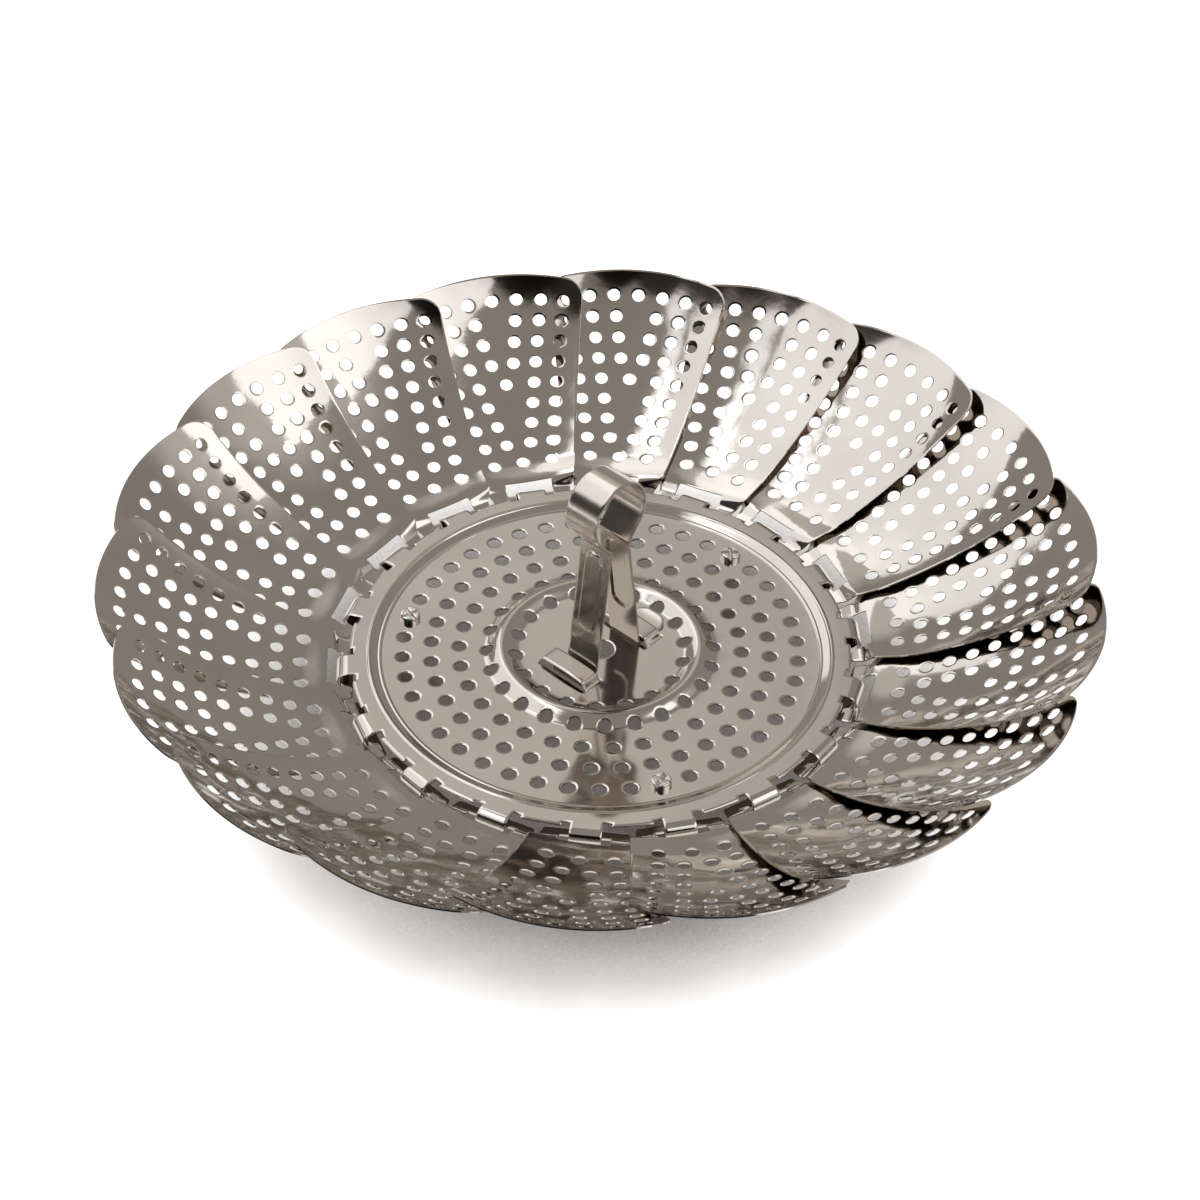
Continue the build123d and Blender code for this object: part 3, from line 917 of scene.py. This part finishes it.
def stake_mesh():
    """The staked head of a leg, on top of the plate."""
    top = PLATE_TOP + STAKE_HEIGHT
    flat_radius = STAKE_RADIUS - STAKE_EDGE
    shank_radius = PLATE_HOLE_RADIUS - PLATE_ROLL
    shank = [(0, PLATE_LEVEL), (shank_radius, PLATE_LEVEL), (shank_radius, PLATE_TOP)]
    wall_heights = steps(PLATE_TOP, top - STAKE_EDGE, STAKE_WALL_SPANS)
    wall = [(STAKE_RADIUS, z) for z in wall_heights[:-1]]
    edge = arc(flat_radius, top - STAKE_EDGE, STAKE_EDGE, 0, pi / 2, STAKE_EDGE_SPANS)
    inward = [(x, top) for x in steps(flat_radius, 0, STAKE_TOP_SPANS)[1:]]
    return turned_mesh("stake", shank + wall + edge + inward, STAKE_SIDES, stake_shape)


# Finishes

def link(tree, source, output, target, entry):
    """One link between two shader nodes."""
    tree.links.new(source.outputs[output], target.inputs[entry])


def noise(tree, source, output, pattern):
    """A noise pattern, given as its scale and detail, on the coordinates of a node."""
    node = tree.nodes.new("ShaderNodeTexNoise")
    node.inputs["Scale"].default_value = pattern[0]
    node.inputs["Detail"].default_value = pattern[1]
    link(tree, source, output, node, "Vector")
    return node


def ranged(tree, source, low, high):
    """Spreads a noise pattern from low to high."""
    node = tree.nodes.new("ShaderNodeMapRange")
    node.inputs["From Min"].default_value = PATTERN_LOW
    node.inputs["From Max"].default_value = PATTERN_HIGH
    node.inputs["To Min"].default_value = low
    node.inputs["To Max"].default_value = high
    link(tree, source, "Fac", node, "Value")
    return node


def bump(tree, source, depth, before):
    """Relief of a pattern, with its depth in metres, on top of the relief before it."""
    node = tree.nodes.new("ShaderNodeBump")
    node.inputs["Strength"].default_value = 1
    node.inputs["Distance"].default_value = depth
    link(tree, source, "Fac", node, "Height")
    if before:
        link(tree, before, "Normal", node, "Normal")
    return node


def colour_mix(tree, share, second):
    """A mix that turns to its second colour as a share rises. Its first colour is still to be set."""
    mix = tree.nodes.new("ShaderNodeMix")
    mix.data_type = "RGBA"
    mix.inputs[MIX_SECOND].default_value = (*second, 1)
    link(tree, share, "Result", mix, 0)
    return mix


def joined(tree, operation, first, second):
    """A math node on two outputs, each given as a node and the name of its output."""
    node = tree.nodes.new("ShaderNodeMath")
    node.operation = operation
    link(tree, *first, node, 0)
    link(tree, *second, node, 1)
    return node


def polished_steel(name, dark, light, roughness, depths, grain=None):
    """Bright rolled steel: a faint change of tone, wiped gloss, slow waves, ripples and scuffs, and
    drawing lines where a grain is given, as its stretch along x, y and z and its depth."""
    material = bpy.data.materials.new(name)
    material.use_nodes = True
    tree = material.node_tree
    shader = tree.nodes["Principled BSDF"]
    shader.inputs["Metallic"].default_value = 1
    coordinates = tree.nodes.new("ShaderNodeTexCoord")
    share = ranged(tree, noise(tree, coordinates, "Object", TONE_PATTERN), 0, 1)
    mix = colour_mix(tree, share, light)
    mix.inputs[MIX_FIRST].default_value = (*dark, 1)
    link(tree, mix, MIX_RESULT, shader, "Base Color")
    gloss = ranged(tree, noise(tree, coordinates, "Object", GLOSS_PATTERN), *roughness)
    link(tree, gloss, "Result", shader, "Roughness")
    relief = None
    for pattern, depth in zip(RELIEF_PATTERNS, depths):
        relief = bump(tree, noise(tree, coordinates, "Object", pattern), depth, relief)
    if grain:
        stretch = tree.nodes.new("ShaderNodeMapping")
        stretch.inputs["Scale"].default_value = grain[0]
        link(tree, coordinates, "Object", stretch, "Vector")
        relief = bump(tree, noise(tree, stretch, "Vector", GRAIN_PATTERN), grain[1], relief)
    link(tree, relief, "Normal", shader, "Normal")
    return material


STEELS = {
    "plate_steel": polished_steel(
        "plate_steel",
        dark=(0.45, 0.406, 0.362),
        light=(0.50, 0.454, 0.406),
        roughness=(0.07, 0.12),
        depths=(0.00007, 0.00001, 0.0000012),
    ),
    "petal_steel": polished_steel(
        "petal_steel",
        dark=(0.44, 0.396, 0.352),
        light=(0.51, 0.464, 0.415),
        roughness=(0.06, 0.10),
        depths=(0.00042, 0.000022, 0.000001),
    ),
    "handle_steel": polished_steel(
        "handle_steel",
        dark=(0.47, 0.415, 0.368),
        light=(0.56, 0.50, 0.45),
        roughness=(0.14, 0.2),
        depths=(0.0001, 0.00002, 0.000001),
        grain=((10, 420, 10), 0.00004),
    ),
    "leg_steel": polished_steel(
        "leg_steel",
        dark=(0.60, 0.565, 0.52),
        light=(0.68, 0.645, 0.60),
        roughness=(0.16, 0.24),
        depths=(0.00002, 0.00001, 0.000001),
    ),
}


# Assembly

def add_piece(mesh, name, body, node, steel):
    """Puts a finished mesh in the scene in place of its CAD node, in the steel that it is given."""
    mesh.materials.append(STEELS[steel])
    piece = bpy.data.objects.new(name, mesh)
    bpy.context.scene.collection.objects.link(piece)
    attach(piece, body)
    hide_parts(node)


def placed(mesh, place):
    """A copy of a mesh, moved to its place."""
    made = mesh.copy()
    made.transform(place)
    return made


add_piece(plate_mesh(), "plate_sheet", "basket", "base_plate", "plate_steel")

petal = petal_mesh()
for index in range(PETAL_COUNT):
    node_name = "petal_%02d" % (index + 1)
    leaf = placed(petal, petal_matrix(index))
    add_piece(leaf, "leaf_%02d" % (index + 1), node_name, node_name, "petal_steel")
bpy.data.meshes.remove(petal)

add_piece(handle_mesh(), "handle_strip", "basket", "handle", "handle_steel")

post = leg_mesh()
stake = stake_mesh()
for index in range(LEG_COUNT):
    leg_turn = Matrix.Rotation(2 * pi * index / LEG_COUNT, 4, "Z")
    leg_place = leg_turn @ Matrix.Translation(Vector((LEG_CIRCLE, 0, 0)) * MM)
    node_name = "leg_%d" % (index + 1)
    add_piece(placed(post, leg_place), "post_%d" % (index + 1), "basket", node_name, "leg_steel")
    head = placed(stake, leg_place)
    add_piece(head, "stake_head_%d" % (index + 1), "basket", node_name, "leg_steel")
bpy.data.meshes.remove(post)
bpy.data.meshes.remove(stake)


# Studio

def floor_paper():
    """Pale paper. Under and close to the basket its colour and glow carry painted shade, so that
    the plate's holes look deep.
    """
    material = bpy.data.materials.new("floor_paper")
    material.use_nodes = True
    tree = material.node_tree
    shader = tree.nodes["Principled BSDF"]
    shader.inputs["Roughness"].default_value = PAPER_ROUGHNESS
    shader.inputs["Specular IOR Level"].default_value = 0
    coordinates = tree.nodes.new("ShaderNodeTexCoord")
    paper = ranged(tree, noise(tree, coordinates, "Object", PAPER_PATTERN), *PAPER_TONES)
    # Painted shade: ambient occlusion darkens the paper's colour and its glow under and close to the
    # basket.
    shade = tree.nodes.new("ShaderNodeAmbientOcclusion")
    shade.inputs["Distance"].default_value = SHADE_REACH
    shade.samples = SHADE_SAMPLES
    depth = tree.nodes.new("ShaderNodeValToRGB")
    stops = depth.color_ramp.elements
    while len(stops) < len(PAINTED_SHADE_TONES):
        stops.new(1)
    for stop, (position, tone) in zip(stops, PAINTED_SHADE_TONES):
        stop.position = position
        stop.color = tone
    link(tree, shade, "AO", depth, "Fac")
    shaded = tree.nodes.new("ShaderNodeVectorMath")
    shaded.operation = "MULTIPLY"
    link(tree, paper, "Result", shaded, 0)
    link(tree, depth, "Color", shaded, 1)
    link(tree, shaded, "Vector", shader, "Base Color")
    path = tree.nodes.new("ShaderNodeLightPath")
    seen = joined(tree, "MAXIMUM", (path, "Is Camera Ray"), (path, "Is Glossy Ray"))
    seen = joined(tree, "MAXIMUM", (seen, "Value"), (path, "Is Transmission Ray"))
    strength = tree.nodes.new("ShaderNodeMath")
    strength.operation = "MULTIPLY"
    strength.inputs[1].default_value = STAGE_GLOW
    link(tree, seen, "Value", strength, 0)
    link(tree, depth, "Color", shader, "Emission Color")
    link(tree, strength, "Value", shader, "Emission Strength")
    return material


def stage_floor():
    """Plain pale floor under the basket."""
    grid = bmesh.new()
    bmesh.ops.create_grid(grid, x_segments=1, y_segments=1, size=STAGE_SIZE)
    mesh = bpy.data.meshes.new("studio_floor")
    grid.to_mesh(mesh)
    grid.free()
    mesh.materials.append(floor_paper())
    floor = bpy.data.objects.new("studio_floor", mesh)
    bpy.context.scene.collection.objects.link(floor)


def room_way(azimuth, elevation):
    """A direction in the room, in degrees to the right of the camera's way and above level."""
    level = cos(radians(elevation))
    ahead = Vector((-cos(CAMERA_AZIMUTH), -sin(CAMERA_AZIMUTH), 0))
    right = Vector((-sin(CAMERA_AZIMUTH), cos(CAMERA_AZIMUTH), 0))
    flat = ahead * cos(radians(azimuth)) + right * sin(radians(azimuth))
    return flat * level + Z_WAY * sin(radians(elevation))


def studio_world():
    """Room light: the plain tone of the room with its patches over it, one after the other."""
    world = bpy.data.worlds.new("studio")
    bpy.context.scene.world = world
    world.use_nodes = True
    tree = world.node_tree
    background = tree.nodes["Background"]
    coordinates = tree.nodes.new("ShaderNodeTexCoord")
    plain = tree.nodes.new("ShaderNodeRGB")
    plain.outputs["Color"].default_value = ROOM_COLOUR
    tone = plain.outputs["Color"]
    for azimuth, elevation, inner, outer, level in ROOM_PATCHES:
        facing = tree.nodes.new("ShaderNodeVectorMath")
        facing.operation = "DOT_PRODUCT"
        facing.inputs[1].default_value = room_way(azimuth, elevation)
        link(tree, coordinates, "Generated", facing, 0)
        share = tree.nodes.new("ShaderNodeMapRange")
        share.interpolation_type = "SMOOTHSTEP"
        share.inputs["From Min"].default_value = cos(radians(outer))
        share.inputs["From Max"].default_value = cos(radians(inner))
        link(tree, facing, "Value", share, "Value")
        tint = LAMP_TINT if level > WHITE_LEVEL else WALL_TINT
        mix = colour_mix(tree, share, [level * part for part in tint])
        tree.links.new(tone, mix.inputs[MIX_FIRST])
        tone = mix.outputs[MIX_RESULT]
    tree.links.new(tone, background.inputs["Color"])
    background.inputs["Strength"].default_value = 1


def soft_box(name, azimuth, elevation, distance, size, brightness):
    """A soft studio lamp that looks at the basket, in degrees and metres."""
    lamp = bpy.data.lights.new(name, "AREA")
    lamp.shape = "RECTANGLE"
    lamp.size = size[0]
    lamp.size_y = size[1]
    lamp.color = LAMP_TINT
    lamp.energy = LAMP_POWER * size[0] * size[1] * brightness
    holder = bpy.data.objects.new(name, lamp)
    bpy.context.scene.collection.objects.link(holder)
    way = room_way(azimuth, elevation)
    holder.location = way * distance
    holder.rotation_euler = (-way).to_track_quat("-Z", "Y").to_euler()


def photo_camera():
    """The camera at the photograph's viewpoint, looking at the middle of the plate's floor."""
    camera = bpy.data.cameras.new("camera")
    camera.sensor_width = SENSOR
    camera.lens = FOCAL_PIXELS / PHOTO_WIDTH * SENSOR
    camera.shift_x = (PHOTO_WIDTH / 2 - CENTRE_PIXEL[0]) / PHOTO_WIDTH
    camera.shift_y = (CENTRE_PIXEL[1] - PHOTO_WIDTH / 2) / PHOTO_WIDTH
    camera.clip_start = NEAREST_SEEN
    camera.clip_end = FARTHEST_SEEN
    holder = bpy.data.objects.new("camera", camera)
    bpy.context.scene.collection.objects.link(holder)
    level = cos(CAMERA_ELEVATION)
    toward = Vector(
        (level * cos(CAMERA_AZIMUTH), level * sin(CAMERA_AZIMUTH), sin(CAMERA_ELEVATION))
    )
    right = Vector((-sin(CAMERA_AZIMUTH), cos(CAMERA_AZIMUTH), 0))
    upward = toward.cross(right)
    up = upward * cos(CAMERA_ROLL) + right * sin(CAMERA_ROLL)
    side = right * cos(CAMERA_ROLL) - upward * sin(CAMERA_ROLL)
    turn = Matrix((side, up, toward)).transposed().to_4x4()
    place = Vector((0, 0, PLATE_TOP * MM)) + toward * CAMERA_DISTANCE
    holder.matrix_world = Matrix.Translation(place) @ turn
    bpy.context.scene.camera = holder


stage_floor()
studio_world()
soft_box(
    "soft_box_left", azimuth=-58, elevation=47, distance=1.8, size=(2.15, 1.25), brightness=0.95
)
soft_box(
    "soft_box_right", azimuth=120, elevation=51, distance=1.6, size=(1.3, 0.8), brightness=1.15
)
photo_camera()

bpy.context.scene.view_settings.view_transform = "Standard"
